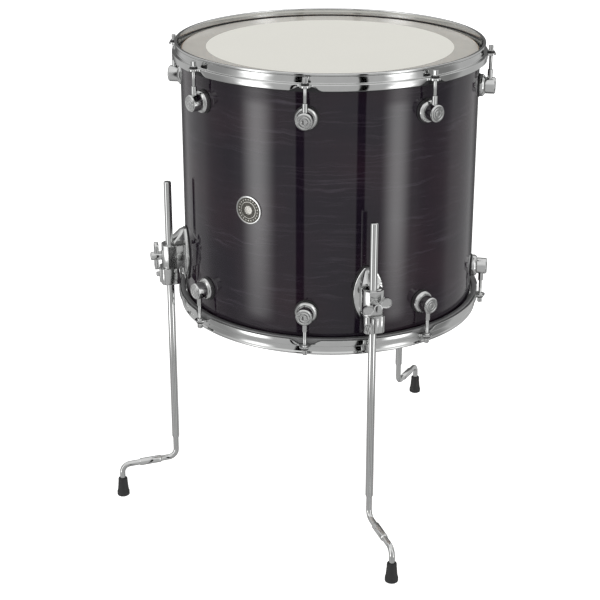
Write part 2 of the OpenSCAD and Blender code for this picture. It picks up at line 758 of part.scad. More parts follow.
module vent_grommet_nut() {
    seat = wall_seat(vent_nut_d);
    color([0.66, 0.66, 0.66]) on_side(vent_angle, shell_mid) difference() {
        out_bar(vent_nut_d, seat - vent_nut_t, seat);
        out_bar(vent_tube_d + 2 * press_gap, seat - 10, seat + 10);
    }
}

shell();
reinforcement_ring(1);  // upper_reinforcement_ring
reinforcement_ring(-1);  // lower_reinforcement_ring
head_film(1);  // batter_head_film
flesh_hoop(1);  // batter_flesh_hoop
head_film(-1);  // resonant_head_film
flesh_hoop(-1);  // resonant_flesh_hoop
hoop(1);  // upper_hoop
hoop(-1);  // lower_hoop
lug_gaskets();
lug_bases();
lug_caps();
lug_swivel_nuts();
lug_screws();
lug_screw_washers();
rod_washers();
for (i = [1:2 * rod_count])
    tension_rod(i);
bracket_gaskets();
bracket_bodies();
bracket_screws();
bracket_screw_washers();
clamp_shoes();
wing_bolt(1);  // wing_bolt_1
wing_bolt(2);  // wing_bolt_2
wing_bolt(3);  // wing_bolt_3
memory_lock(1);  // memory_lock_1
memory_lock(2);  // memory_lock_2
memory_lock(3);  // memory_lock_3
lock_key_bolt(1);  // lock_key_bolt_1
lock_key_bolt(2);  // lock_key_bolt_2
lock_key_bolt(3);  // lock_key_bolt_3
leg(1);  // leg_1
leg(2);  // leg_2
leg(3);  // leg_3
foot(1);  // foot_1
foot(2);  // foot_2
foot(3);  // foot_3
badge();
vent_grommet();
vent_grommet_nut();
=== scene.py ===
import math

import bmesh
import bpy
from mathutils import Matrix, Vector


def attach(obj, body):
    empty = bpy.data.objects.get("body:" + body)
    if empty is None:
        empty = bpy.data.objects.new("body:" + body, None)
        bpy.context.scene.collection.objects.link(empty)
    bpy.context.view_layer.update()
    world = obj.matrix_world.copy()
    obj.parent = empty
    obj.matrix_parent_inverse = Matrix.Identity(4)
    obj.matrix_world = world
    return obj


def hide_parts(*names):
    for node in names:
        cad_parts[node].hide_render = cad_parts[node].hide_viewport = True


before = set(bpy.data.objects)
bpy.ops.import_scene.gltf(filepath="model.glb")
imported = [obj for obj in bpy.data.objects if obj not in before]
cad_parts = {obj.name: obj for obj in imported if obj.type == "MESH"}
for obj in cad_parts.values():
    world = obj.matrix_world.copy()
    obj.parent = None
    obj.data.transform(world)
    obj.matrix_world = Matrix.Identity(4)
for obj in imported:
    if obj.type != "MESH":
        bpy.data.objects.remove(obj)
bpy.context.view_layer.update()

print("frame loaded:", len(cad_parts), "nodes")

# camera: three-quarter view from the front right, looking down
view = {"azimuth": 30.39, "away": 1.9026, "height": 1.0662, "lens": 85.24,
        "pitch": 20.108, "yaw": 1.22, "shiftUp": -0.1}


def makeCamera():
    data = bpy.data.cameras.new("camera")
    data.lens = view["lens"]
    data.sensor_width = 36
    data.shift_y = view["shiftUp"]
    camera = bpy.data.objects.new("camera", data)
    bpy.context.scene.collection.objects.link(camera)
    around = Matrix.Rotation(math.radians(view["azimuth"]), 4, "Z")
    yaw, pitch = math.radians(view["yaw"]), math.radians(view["pitch"])
    ahead = Vector((-math.sin(yaw) * math.cos(pitch), math.cos(yaw) * math.cos(pitch), -math.sin(pitch)))
    camera.rotation_mode = "QUATERNION"
    camera.location = around @ Vector((0, -view["away"], view["height"]))
    camera.rotation_quaternion = (around @ ahead).to_track_quat("-Z", "Y")
    bpy.context.scene.camera = camera


makeCamera()

# the drum's main sizes, in millimetres
drum = {"outside": 203.2, "inside": 196.2, "low": 296.4, "top": 652.0, "edge": 3.5, "rods": 8,
        "rodCircle": 217.5, "lugInset": 47.8, "ledge": -3.0, "sheet": 2.3, "fleshInside": 205.0,
        "legCircle": 228.0, "bracketHeight": 367.5, "bracketAngles": (45, -45, 180), "ventAngle": 225,
        "gap": 0.05}  # between neighbours that only touch
drum["middle"] = (drum["low"] + drum["top"]) / 2


# places: millimetres, angles counted from the front (-Y) towards +X
def shift(x=0, y=0, z=0):
    return Matrix.Translation((x, y, z))


def turn(degrees, axis="Z"):
    return Matrix.Rotation(math.radians(degrees), 4, axis)


def facing(angle, height=0, out=0):  # +X looks outwards
    return turn(angle - 90) @ shift(out, 0, height)


def atEnd(end):  # z = 0 on the bearing edge, +Z out of the drum
    if end > 0:
        return shift(z=drum["top"])
    return shift(z=drum["low"]) @ Matrix.Diagonal((1, 1, -1, 1))


outwards = turn(90, "Y")  # stands a turned shape's axis along +X
frontOn = turn(90) @ turn(90, "X")  # a prism drawn in (y, z) grows along +X
sideOn = turn(90, "X")  # a prism drawn in (x, z) grows along -Y
lugAngles = [360 / drum["rods"] * (i + 0.5) for i in range(drum["rods"])]
lugPlaces = [atEnd(end) @ facing(a, -drum["lugInset"]) for end in (1, -1) for a in lugAngles]
bracketPlaces = [facing(a, drum["bracketHeight"]) for a in drum["bracketAngles"]]


# mesh tools
def rounded(corners, segments=4):
    # corners are (x, y) or (x, y, radius); a radius turns the corner into an arc
    points = []
    for i, corner in enumerate(corners):
        here = Vector(corner[:2])
        radius = corner[2] if len(corner) > 2 else 0
        if not radius:
            points.append(tuple(here))
            continue
        back = (Vector(corners[i - 1][:2]) - here).normalized()
        ahead = (Vector(corners[(i + 1) % len(corners)][:2]) - here).normalized()
        half = back.angle(ahead) / 2
        centre = here + (back + ahead).normalized() * (radius / math.sin(half))
        start, end = here + back * (radius / math.tan(half)), here + ahead * (radius / math.tan(half))
        sweep = (start - centre).angle_signed(end - centre)
        for s in range(segments + 1):
            arm = (start - centre).copy()
            arm.rotate(Matrix.Rotation(-sweep * s / segments, 2))
            points.append(tuple(centre + arm))
    return points


def turned(profile, steps=48, closed=False):
    # spins (radius, height) points about Z; an open profile starts and ends on the axis
    bm = bmesh.new()
    ring = [bm.verts.new((r, 0, z)) for r, z in profile]
    edges = [bm.edges.new(pair) for pair in zip(ring, ring[1:])]
    if closed:
        edges.append(bm.edges.new((ring[-1], ring[0])))
    bmesh.ops.spin(bm, geom=ring + edges, cent=(0, 0, 0), axis=(0, 0, 1), dvec=(0, 0, 0),
                   angle=math.tau, steps=steps, use_merge=True)
    bmesh.ops.remove_doubles(bm, verts=bm.verts, dist=1e-4)
    bmesh.ops.recalc_face_normals(bm, faces=bm.faces)
    return bm


def cylinder(radius, low, high, steps=48):
    return turned([(0, low), (radius, low), (radius, high), (0, high)], steps)


def vertsIn(geom):
    return [part for part in geom if isinstance(part, bmesh.types.BMVert)]


def prism(outline, low, high):
    bm = bmesh.new()
    face = bm.faces.new([bm.verts.new((x, y, low)) for x, y in outline])
    grown = bmesh.ops.extrude_face_region(bm, geom=[face])["geom"]
    bmesh.ops.translate(bm, verts=vertsIn(grown), vec=(0, 0, high - low))
    bmesh.ops.recalc_face_normals(bm, faces=bm.faces)
    return bm


def box(x, y, z):  # each is (low, high)
    return prism([(x[0], y[0]), (x[1], y[0]), (x[1], y[1]), (x[0], y[1])], *z)


def soften(bm, width, segments=2, above=30, pick=None):
    # bevels edges that bend by more than an angle
    edges = [e for e in bm.edges if e.is_manifold and e.calc_face_angle(0) > math.radians(above)
             and (pick is None or pick(e))]
    bmesh.ops.bevel(bm, geom=edges, offset=width, affect="EDGES", segments=segments, profile=0.5,
                    material=-1, clamp_overlap=True, offset_type="OFFSET")
    bmesh.ops.remove_doubles(bm, verts=bm.verts, dist=1e-4)
    return bm


def gather(parts):
    # (bmesh, place) pairs become one bmesh
    bm = bmesh.new()
    for part, place in parts:
        mesh = bpy.data.meshes.new("part")
        part.to_mesh(mesh)
        mesh.transform(place)
        if place.determinant() < 0:
            mesh.flip_normals()
        bm.from_mesh(mesh)
        bpy.data.meshes.remove(mesh)
    for part in {id(p): p for p, _ in parts}.values():
        part.free()
    return bm


def makeMesh(name, bm):
    mesh = bpy.data.meshes.new(name)
    bm.to_mesh(mesh)
    bm.free()
    return mesh


def carved(bm, *steps):
    # exact booleans in turn; each step is ("UNION" or "DIFFERENCE" or "INTERSECT", bmesh)
    work = bpy.data.objects.new("work", makeMesh("work", bm))
    bpy.context.scene.collection.objects.link(work)
    tools = []
    for operation, shape in steps:
        tool = bpy.data.objects.new("tool", makeMesh("tool", shape))
        bpy.context.scene.collection.objects.link(tool)
        modifier = work.modifiers.new(operation, "BOOLEAN")
        modifier.operation, modifier.object, modifier.solver = operation, tool, "EXACT"
        tools.append(tool)
    bpy.context.view_layer.update()
    solid = bmesh.new()
    solid.from_object(work, bpy.context.evaluated_depsgraph_get())
    for used in [work] + tools:
        bpy.data.objects.remove(used)
    return solid


def curveToShell(bm, radius, reach=math.inf):
    # bends a shape about +X to the shell, for vertices nearer the shell than reach
    for v in bm.verts:
        if v.co.x < reach:
            v.co.x += math.sqrt(radius ** 2 - v.co.y ** 2) - radius
    return bm


def makePiece(name, bm, body, materials, nodes=(), sharp=32):
    mesh = makeMesh(name, bm)
    mesh.transform(Matrix.Diagonal((0.001, 0.001, 0.001, 1)))
    mesh.shade_smooth()
    mesh.set_sharp_from_angle(angle=math.radians(sharp))
    for material in materials:
        mesh.materials.append(material)
    piece = bpy.data.objects.new(name, mesh)
    bpy.context.scene.collection.objects.link(piece)
    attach(piece, body)
    if nodes:
        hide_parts(*nodes)
    return piece


# materials
socketNames = {"colour": "Base Color", "metal": "Metallic", "rough": "Roughness", "ior": "IOR",
               "alpha": "Alpha", "coat": "Coat Weight", "coatRough": "Coat Roughness",
               "specular": "Specular IOR Level"}


def newMaterial(name, **values):
    material = bpy.data.materials.new(name)
    material.use_nodes = True
    shader = material.node_tree.nodes["Principled BSDF"]
    for key, value in values.items():
        shader.inputs[socketNames[key]].default_value = value
    return material, material.node_tree, shader


def node(tree, kind, inputs=(), **settings):
    made = tree.nodes.new("ShaderNode" + kind)
    for key, value in settings.items():
        setattr(made, key, value)
    for key, value in dict(inputs).items():
        if isinstance(value, bpy.types.NodeSocket):
            tree.links.new(value, made.inputs[key])
        else:
            made.inputs[key].default_value = value
    return made


def objectPoint(tree, scale=(1, 1, 1)):
    point = node(tree, "TexCoord").outputs["Object"]
    return node(tree, "Mapping", {"Vector": point, "Scale": scale}).outputs["Vector"]


def wrapPoint(tree, scale=(1, 1, 1)):
    point = node(tree, "UVMap", uv_map="wrap").outputs["UV"]
    return node(tree, "Mapping", {"Vector": point, "Scale": scale}).outputs["Vector"]


def noise(tree, point, scale=1.0, detail=3.0, rough=0.5, warp=0.0):
    return node(tree, "TexNoise", {"Vector": point, "Scale": scale, "Detail": detail,
                                   "Roughness": rough, "Distortion": warp}).outputs["Fac"]


def ramp(tree, value, *stops):
    made = node(tree, "ValToRGB", {"Fac": value})
    elements = made.color_ramp.elements
    while len(elements) < len(stops):
        elements.new(1)
    for element, (place, colour) in zip(elements, stops):
        element.position = place
        element.color = (*colour, 1) if isinstance(colour, tuple) else (colour, colour, colour, 1)
    return made.outputs["Color"]


def mixed(tree, amount, first, second):
    made = node(tree, "Mix", data_type="RGBA")
    for key, value in ((0, amount), (6, first), (7, second)):
        if isinstance(value, bpy.types.NodeSocket):
            tree.links.new(value, made.inputs[key])
        else:
            made.inputs[key].default_value = (*value, 1) if isinstance(value, tuple) else value
    return made.outputs[2]


def spread(tree, value, low, high, start=0.0, end=1.0):
    return node(tree, "MapRange", {"Value": value, "From Min": start, "From Max": end,
                                   "To Min": low, "To Max": high}).outputs["Result"]


def bump(tree, shader, height, strength, distance):
    made = node(tree, "Bump", {"Height": height, "Strength": strength, "Distance": distance})
    tree.links.new(made.outputs["Normal"], shader.inputs["Normal"])


def feed(tree, shader, key, value):
    tree.links.new(value, shader.inputs[socketNames[key]])


stain = {"dark": (0.0090, 0.0062, 0.0112), "light": (0.050, 0.041, 0.053),
         "burgundy": (0.0195, 0.0095, 0.0150), "gloss": 0.02, "waveRise": 0.011, "tooth": 0.0002,
         # how often each pattern repeats in a metre, round the shell and up it
         "waves": (14, 18, 1), "streaks": (12, 210, 1), "patches": (10, 22, 1), "pores": (22, 900, 1),
         "clouds": (6, 8, 1)}


def makeStainedWood():
    # black-purple stain over maple under clear lacquer; the figure runs round the shell
    material, tree, shader = newMaterial("stainedLacquer", rough=0.5, coat=1.0, coatRough=stain["gloss"],
                                         specular=0.0)
    wander, far = noise(tree, wrapPoint(tree, stain["waves"]), 1, 3), stain["waveRise"]
    rise = spread(tree, wander, -far, far)
    lifted = node(tree, "CombineXYZ", {"Y": rise}).outputs["Vector"]
    waved = node(tree, "VectorMath", {0: node(tree, "UVMap", uv_map="wrap").outputs["UV"], 1: lifted},
                 operation="ADD").outputs["Vector"]
    long = node(tree, "Mapping", {"Vector": waved, "Scale": stain["streaks"]}).outputs["Vector"]
    streaks = ramp(tree, noise(tree, long, 1, 5, 0.62), (0.5, 0.0), (0.72, 1.0))
    patches = ramp(tree, noise(tree, wrapPoint(tree, stain["patches"]), 1, 3), (0.42, 0.12), (0.66, 1.0))
    streaks = node(tree, "Math", {0: streaks, 1: patches}, operation="MULTIPLY").outputs["Value"]
    fine = node(tree, "Mapping", {"Vector": waved, "Scale": stain["pores"]}).outputs["Vector"]
    pores = noise(tree, fine, 1, 3, 0.6)
    clouds = ramp(tree, noise(tree, wrapPoint(tree, stain["clouds"]), 1, 2), (0.42, 0.0), (0.66, 1.0))
    grain = mixed(tree, streaks, mixed(tree, clouds, stain["dark"], stain["burgundy"]), stain["light"])
    feed(tree, shader, "colour", mixed(tree, spread(tree, pores, 0.0, 0.5), grain, stain["dark"]))
    feed(tree, shader, "rough", spread(tree, pores, 0.35, 0.6))
    bump(tree, shader, pores, 0.15, stain["tooth"])
    return material


maple = {"pale": (0.55, 0.36, 0.20), "deep": (0.36, 0.20, 0.09), "grain": (4, 140, 1), "flecks": (60, 900, 1)}


def makeBareMaple():
    material, tree, shader = newMaterial("bareMaple", rough=0.5)
    grain = noise(tree, wrapPoint(tree, maple["grain"]), 1, 4, 0.6, 0.3)
    flecks = noise(tree, wrapPoint(tree, maple["flecks"]), 1, 2)
    tone = ramp(tree, grain, (0.3, maple["deep"]), (0.7, maple["pale"]))
    feed(tree, shader, "colour", mixed(tree, spread(tree, flecks, 0, 0.4), tone, maple["deep"]))
    feed(tree, shader, "rough", spread(tree, grain, 0.4, 0.6))
    bump(tree, shader, flecks, 0.2, 0.0002)
    return material


coating = {"white": (0.845, 0.835, 0.775), "worn": (0.775, 0.765, 0.70), "tooth": 1400, "clouds": 9}


def makeCoatedFilm():
    # sprayed white coating with a fine tooth
    material, tree, shader = newMaterial("coatedFilm", rough=0.7, specular=0.3)
    tooth = noise(tree, objectPoint(tree), coating["tooth"], 3, 0.7)
    cloud = noise(tree, objectPoint(tree), coating["clouds"], 4, 0.6)
    wear = spread(tree, cloud, 0.0, 0.35)
    feed(tree, shader, "colour", mixed(tree, wear, coating["white"], coating["worn"]))
    feed(tree, shader, "rough", spread(tree, tooth, 0.55, 0.85))
    bump(tree, shader, tooth, 0.35, 0.0002)
    return material


def makeClearFilm(name, hazeAndPaintedReflection, alpha):
    # thin polyester: part haze, part see-through; its pale tint is partly haze and partly a painted
    # reflection of the pale room
    material, tree, shader = newMaterial(name, colour=(*hazeAndPaintedReflection, 1), rough=0.12, alpha=alpha, ior=1.55)
    haze = noise(tree, objectPoint(tree, (1, 1, 3)), 14, 4, 0.6)
    feed(tree, shader, "alpha", spread(tree, haze, alpha - 0.08, alpha + 0.08))
    feed(tree, shader, "rough", spread(tree, haze, 0.06, 0.2))
    bump(tree, shader, haze, 0.05, 0.0006)
    return material


def makeMetal(name, pale, dark, rough, bumps, scale, stretch=(1, 1, 1), metal=1.0):
    # plated or cast metal: tone, polish and surface all vary a little; rough is (least, most)
    material, tree, shader = newMaterial(name, metal=metal, rough=sum(rough) / 2)
    cloud = noise(tree, objectPoint(tree, stretch), scale, 4, 0.6)
    micro = noise(tree, objectPoint(tree, stretch), scale * 14, 2)
    feed(tree, shader, "colour", mixed(tree, cloud, pale, dark))
    feed(tree, shader, "rough", spread(tree, micro, *rough, 0.3, 0.7))
    bump(tree, shader, cloud, bumps, 0.0005)
    return material


def makeMoulded(name, pale, dark, rough, grain, strength):
    # rubber or nylon
    material, tree, shader = newMaterial(name, rough=sum(rough) / 2, specular=0.4)
    skin = noise(tree, objectPoint(tree), grain, 3, 0.6)
    dust = noise(tree, objectPoint(tree), grain / 12, 4, 0.65)
    feed(tree, shader, "colour", mixed(tree, dust, dark, pale))
    feed(tree, shader, "rough", spread(tree, dust, *rough, 0.3, 0.7))
    bump(tree, shader, skin, strength, 0.0004)
    return material


stainedWood = makeStainedWood()
bareMaple = makeBareMaple()
coatedFilm = makeCoatedFilm()
# the margin's near-white tint at part opacity is partly haze and partly a painted reflection of the pale room
clearMargin = makeClearFilm("clearMargin", (0.88, 0.87, 0.82), 0.6)
clearFilm = makeClearFilm("clearFilm", (0.70, 0.71, 0.72), 0.22)
chrome = makeMetal("chromePlate", (0.66, 0.665, 0.66), (0.56, 0.565, 0.56), (0.03, 0.09), 0.03, 40)
castChrome = makeMetal("castChrome", (0.66, 0.665, 0.66), (0.54, 0.545, 0.54), (0.06, 0.15), 0.12, 90)
brushed = {"stretch": (1, 1, 30), "metal": 0.6}
# near-black metal for the upper flesh hoop, which also makes the strip under the hoop's ears dark
blackAluminium = makeMetal("nearBlackFleshHoopMetal", (0.045, 0.045, 0.047), (0.018, 0.018, 0.019),
                           (0.3, 0.45), 0.08, 30, **brushed)
greyAluminium = makeMetal("greyAluminium", (0.26, 0.26, 0.262), (0.17, 0.17, 0.172), (0.3, 0.45), 0.08, 30,
                          **brushed)
zincSteel = makeMetal("zincSteel", (0.62, 0.61, 0.58), (0.42, 0.42, 0.42), (0.3, 0.5), 0.15, 120)
brass = makeMetal("brass", (0.78, 0.56, 0.25), (0.60, 0.41, 0.17), (0.2, 0.4), 0.1, 90)
badgeMetal = makeMetal("badgeMetal", (0.62, 0.61, 0.57), (0.22, 0.215, 0.2), (0.18, 0.32), 0.6, 420)
badgeGround = makeMetal("badgeGround", (0.14, 0.135, 0.12), (0.03, 0.03, 0.027), (0.3, 0.5), 0.6, 420)
rubber = makeMoulded("rubber", (0.030, 0.030, 0.031), (0.012, 0.012, 0.012), (0.5, 0.75), 900, 0.25)
nylon = makeMoulded("nylon", (0.020, 0.020, 0.021), (0.010, 0.010, 0.010), (0.3, 0.45), 1500, 0.1)
print("materials made")


# shell and its reinforcement rings
shell = {"steps": 384, "lugHole": 5.8, "bracketHole": 6.8, "ventHole": 11, "drillPast": 8, "holeRow": 9,
         "bracketHoles": (30.0, -23.0), "ringHeight": 25, "ringThick": 6, "ringSteps": 288}


def wrapUv(mesh, radius):
    # u runs round the shell in metres with its seam at the back, v is the height
    layer = mesh.uv_layers.new(name="wrap")
    for face in mesh.polygons:
        middle = math.atan2(face.center.x, -face.center.y)
        for loop in face.loop_indices:
            at = mesh.vertices[mesh.loops[loop].vertex_index].co
            angle = math.atan2(at.x, -at.y)
            angle += math.tau * round((middle - angle) / math.tau)
            layer.data[loop].uv = (angle * radius * 0.001, at.z)


def shellHoles():
    holes = [(place, shell["lugHole"]) for place in lugPlaces]
    holes += [(place @ shift(z=h), shell["bracketHole"])
              for place in bracketPlaces for h in shell["bracketHoles"]]
    holes.append((facing(drum["ventAngle"], drum["middle"]), shell["ventHole"]))
    drill = cylinder(1, drum["inside"] - shell["drillPast"], drum["outside"] + shell["drillPast"], 32)
    return gather([(drill, place @ outwards @ Matrix.Diagonal((d / 2, d / 2, 1, 1))) for place, d in holes])


def makeShell():
    out, inside, low, top, edge = (drum[k] for k in ("outside", "inside", "low", "top", "edge"))
    # rows just above and below each hole keep the rest of the wall in even strips
    holes = [low + drum["lugInset"], top - drum["lugInset"], drum["middle"]]
    holes += [drum["bracketHeight"] + h for h in shell["bracketHoles"]]
    rows = sorted(h + side * shell["holeRow"] for side in (-1, 1) for h in holes)
    slope = out - edge - inside
    wall = [(out, low, edge)] + [(out, h) for h in rows] + [(out, top, edge)]
    wall += [(out - edge, top), (inside, top - slope)] + [(inside, h) for h in reversed(rows)]
    wall += [(inside, low + slope), (out - edge, low)]
    bm = carved(turned(rounded(wall, 5), shell["steps"], closed=True), ("DIFFERENCE", shellHoles()))
    for face in bm.faces:
        at = face.calc_center_median()
        face.material_index = 0 if math.hypot(at.x, at.y) > out - edge * 0.8 else 1
    piece = makePiece("woodShell", bm, "drum", [stainedWood, bareMaple], ["shell"])
    wrapUv(piece.data, out)


def makeRings():
    out, thick, height = drum["inside"] - drum["gap"], shell["ringThick"], shell["ringHeight"]
    slope = drum["outside"] - drum["edge"] - drum["inside"]
    section = [(out, -slope), (out - thick, -slope - thick, 0.6), (out - thick, -height, 1.2), (out, -height)]
    for end, name, cadNode in ((1, "upperMapleRing", "upper_reinforcement_ring"),
                               (-1, "lowerMapleRing", "lower_reinforcement_ring")):
        bm = gather([(turned(rounded(section), shell["ringSteps"], closed=True), atEnd(end))])
        piece = makePiece(name, bm, "drum", [bareMaple], [cadNode])
        wrapUv(piece.data, out)


makeShell()
makeRings()
print("shell done")

# heads
head = {"film": 0.3, "coat": 168, "steps": 288, "turnDown": -10.1, "rows": (40, 80, 120, 150, 186),
        "hoopWidth": 6, "hoopHeight": 8, "hoopRound": 0.8}


def makeHead(end, name, cadNode, coated):
    film, lift, low, inside = head["film"], drum["gap"], head["turnDown"], drum["fleshInside"] - drum["gap"]
    edge = drum["outside"] - drum["edge"]
    radii = sorted((10, head["coat"]) + head["rows"]) if coated else [40, 100, 150, 186]
    under = [(0, lift)] + [(r, lift) for r in radii]
    under += [(edge, lift, 3), (inside - film, -4.4, 1.5), (inside - film, low)]
    over = [(inside, low), (inside, -4.1, 1.8), (edge + 0.3, lift + film, 3)]
    over += [(r, lift + film) for r in reversed(radii)] + [(0, lift + film)]
    bm = turned(rounded(under + over), head["steps"])
    if coated:
        for face in bm.faces:
            at = face.calc_center_median()
            face.material_index = 0 if math.hypot(at.x, at.y) < head["coat"] else 1
    bm = gather([(bm, atEnd(end))])
    made = [coatedFilm, clearMargin] if coated else [clearFilm]
    makePiece(name, bm, "drum", made, [cadNode])


def makeFleshHoop(end, name, cadNode, finish):
    high, inner, curve = drum["ledge"] - drum["sheet"] - drum["gap"], drum["fleshInside"], head["hoopRound"]
    low, outer = high - head["hoopHeight"], inner + head["hoopWidth"]
    section = rounded([(inner, low, curve), (outer, low, curve), (outer, high, curve),
                       (inner, high, curve)], 3)
    bm = gather([(turned(section, head["steps"], closed=True), atEnd(end))])
    makePiece(name, bm, "drum", [finish], [cadNode])


makeHead(1, "coatedHead", "batter_head_film", True)
makeHead(-1, "clearHead", "resonant_head_film", False)
makeFleshHoop(1, "upperFleshHoop", "batter_flesh_hoop", blackAluminium)
makeFleshHoop(-1, "lowerFleshHoop", "resonant_flesh_hoop", greyAluminium)
print("heads done")

# pressed steel hoops
hoop = {"rimIn": 206.5, "rimOut": 208.8, "lip": 1.7, "rimHeight": 10, "skirtIn": 211.7, "skirtOut": 214.0,
        "skirtLow": -11.5, "earRadius": 7, "earFillet": 3, "cutNarrow": 6.5, "cutWide": 22, "cutLeft": 0.03,
        "flare": 0.9, "collarIn": 3.0, "collarOut": 4.4, "collarRise": 0.3, "collarDrop": 1.6,
        "columns": 90, "earColumns": 12, "filletColumns": 18, "cutColumns": 27}  # columns for each rod


def hoopColumn(k):
    # one column's angle from its rod, and its outer edge's distance from the drum's axis
    side, k = (-1 if k < 0 else 1), abs(k)
    ear, fillet, cut, last = (hoop[n] for n in ("earColumns", "filletColumns", "cutColumns", "columns"))
    radius, bend, out = hoop["earRadius"], hoop["earFillet"], hoop["skirtOut"]
    if k <= ear:
        swing = math.radians(90 * k / ear)
        x, y = drum["rodCircle"] + radius * math.cos(swing), radius * math.sin(swing)
    elif k <= fillet:
        swing = math.radians(90 * (k - ear) / (fillet - ear))
        root = math.sqrt(out ** 2 - (radius + bend) ** 2)
        x, y = root + bend - bend * math.sin(swing), radius + bend - bend * math.cos(swing)
    else:
        start = math.asin((radius + bend) / out)
        middle, end = math.asin((hoop["cutWide"] + 1) / out), math.pi / drum["rods"]
        if k <= cut:
            angle = start + (middle - start) * (k - fillet) / (cut - fillet)
        else:
            angle = middle + (end - middle) * (k - cut) / (last / 2 - cut)
        return side * angle, out
    return side * math.atan2(y, x), math.hypot(x, y)


def shapeHoop(bm):
    # a plain ring with a skirt gets its ears, and the skirt is swept up to each ear
    columns = hoop["columns"] * drum["rods"]
    fold = drum["ledge"] - drum["sheet"]
    for v in bm.verts:
        radius, angle = math.hypot(v.co.x, v.co.y), math.atan2(v.co.y, v.co.x)
        column = round(angle / math.tau * columns) % columns
        sector, k = divmod(column, hoop["columns"])
        k -= hoop["columns"] // 2
        off, reach = hoopColumn(k)
        angle = math.tau * (sector + 0.5) / drum["rods"] + off
        share = min(max((radius - hoop["skirtIn"]) / hoop["flare"], 0), 1)
        radius += (reach - hoop["skirtOut"]) * share
        if v.co.z < fold and radius > hoop["skirtIn"] - 0.1:
            across = abs(reach * math.sin(off))
            t = min(max((across - hoop["cutNarrow"]) / (hoop["cutWide"] - hoop["cutNarrow"]), 0), 1)
            kept = hoop["cutLeft"] + (1 - hoop["cutLeft"]) * t * t * (3 - 2 * t)
            v.co.z = fold + (v.co.z - fold) * kept
        v.co.x, v.co.y = radius * math.cos(angle), radius * math.sin(angle)


def makeHoop(end, name, cadNode):
    low, ledge, fold = hoop["skirtLow"], drum["ledge"], drum["ledge"] - drum["sheet"]
    rimIn, rimOut, top, lip = hoop["rimIn"], hoop["rimOut"], hoop["rimHeight"], hoop["lip"]
    skirtIn, skirtOut = hoop["skirtIn"], hoop["skirtOut"]
    section = rounded([
        (rimIn, fold, 0.4), (rimIn, top, 1.3), (rimOut + lip, top, 1.3), (rimOut + lip, top - 2.4, 0.6),
        (rimOut, top - 4.2, 1), (rimOut, ledge, 1.2), (skirtOut, ledge, 1.3), (skirtOut, low, 0.5),
        (skirtIn, low, 0.5), (skirtIn, fold, 0.3)], 4)
    ring = turned(section, hoop["columns"] * drum["rods"], closed=True)
    shapeHoop(ring)
    inner, outer = hoop["collarIn"], hoop["collarOut"]
    high, deep = fold + hoop["collarRise"], fold - hoop["collarDrop"]
    collar = turned(rounded([(inner, high), (outer, high), (outer - 0.1, fold, 0.3), (outer - 0.7, deep, 0.4),
                             (inner, deep, 0.2)], 2), 32, closed=True)
    parts = [(ring, atEnd(end))] + [(collar, atEnd(end) @ facing(a, 0, drum["rodCircle"])) for a in lugAngles]
    makePiece(name, gather(parts), "drum", [chrome], [cadNode], sharp=40)


makeHoop(1, "upperSteelHoop", "upper_hoop")
makeHoop(-1, "lowerSteelHoop", "lower_hoop")
print("hoops done")

# turret lugs
lug = {"gasket": 16.0, "gasketThick": 1.5, "base": 15.0, "baseOut": 211.4, "cap": 11.2, "face": 225.6,
       "barrel": 5.8, "tube": 3.5, "tubeBore": 2.4, "tubeReach": 22, "slot": 4.0,
       "bendRow": 8,  # an inner row of points where the flat discs may bend
       # grooves on the cap's face: distance in from its side, depth, rounding
       "capRings": ((1.5, 0, 0.4), (2.9, 0, 0.25), (3.3, 0.6, 0.2), (4.3, 0.6, 0.2), (4.7, 0.1, 0.2),
                    (6.6, 0.1, 0.2), (6.9, 0.5, 0.2), (7.8, 0.5, 0.2), (8.1, 0, 0.3))}


def lugGasket(wall, seat):  # its two faces follow the shell
    out, row, back, front = lug["gasket"], lug["bendRow"], wall + drum["gap"], seat - drum["gap"]
    disc = turned(rounded([(0, back), (row, back), (out, back, 0.2), (out, front, 0.6), (row, front),
                           (0, front)], 3), 64)
    return curveToShell(gather([(disc, outwards)]), wall)


def lugBase(seat):  # only its back follows the shell
    out, front = lug["base"], lug["baseOut"]
    dome = turned(rounded([(0, seat), (lug["bendRow"], seat), (out, seat, 0.3), (out, front - 3.2, 1.0),
                           (out - 0.9, front - 1.6, 0.8), (out - 2.6, front, 0.5), (0, front)], 4), 72)
    return curveToShell(gather([(dome, outwards)]), seat, seat + 0.6)


def lugCap():
    out, back, face = lug["cap"], lug["baseOut"] + drum["gap"], lug["face"]
    profile = [(0, back), (out - 0.6, back), (out, lug["baseOut"] + 0.6), (out, face - 1.7, 0.8)]
    profile += [(out - inset, face - depth, curve) for inset, depth, curve in lug["capRings"]] + [(0, face)]
    slot = gather([(cylinder(lug["slot"], 0, out + 2, 32), shift(drum["rodCircle"]))])
    return carved(gather([(turned(rounded(profile, 3), 72), outwards)]), ("DIFFERENCE", slot))


def lugNut():  # a barrel across the cap, with a tube that takes the rod
    middle, wide = drum["rodCircle"], lug["barrel"]
    barrel = turned(rounded([(0, middle - 5.2), (wide, middle - 5.2, 0.4), (wide, middle + 5, 0.4),
                             (0, middle + 5)]), 48)
    out, bore, end = lug["tube"], lug["tubeBore"], lug["tubeReach"]
    tube = turned(rounded([(bore, 2), (out, 2), (out, end, 0.5), (bore + 0.3, end, 0.1),
                           (bore, end - 0.4)], 4), 40, closed=True)
    return gather([(barrel, outwards), (tube, shift(middle))])


def makeLugs():
    wall, seat = drum["outside"], drum["outside"] + lug["gasketThick"]
    for name, part, slotName, material, cadNode in (
            ("lugGaskets", lugGasket(wall, seat), "black_nylon", nylon, "lug_gaskets"),
            ("lugBases", lugBase(seat), "chrome", castChrome, "lug_bases"),
            ("lugCaps", lugCap(), "chrome", castChrome, "lug_caps"),
            ("lugNuts", lugNut(), "chrome", chrome, "lug_swivel_nuts")):
        bm = gather([(part, place) for place in lugPlaces])
        makePiece(name, bm, "drum", [material], [cadNode])


makeLugs()
print("lugs done")

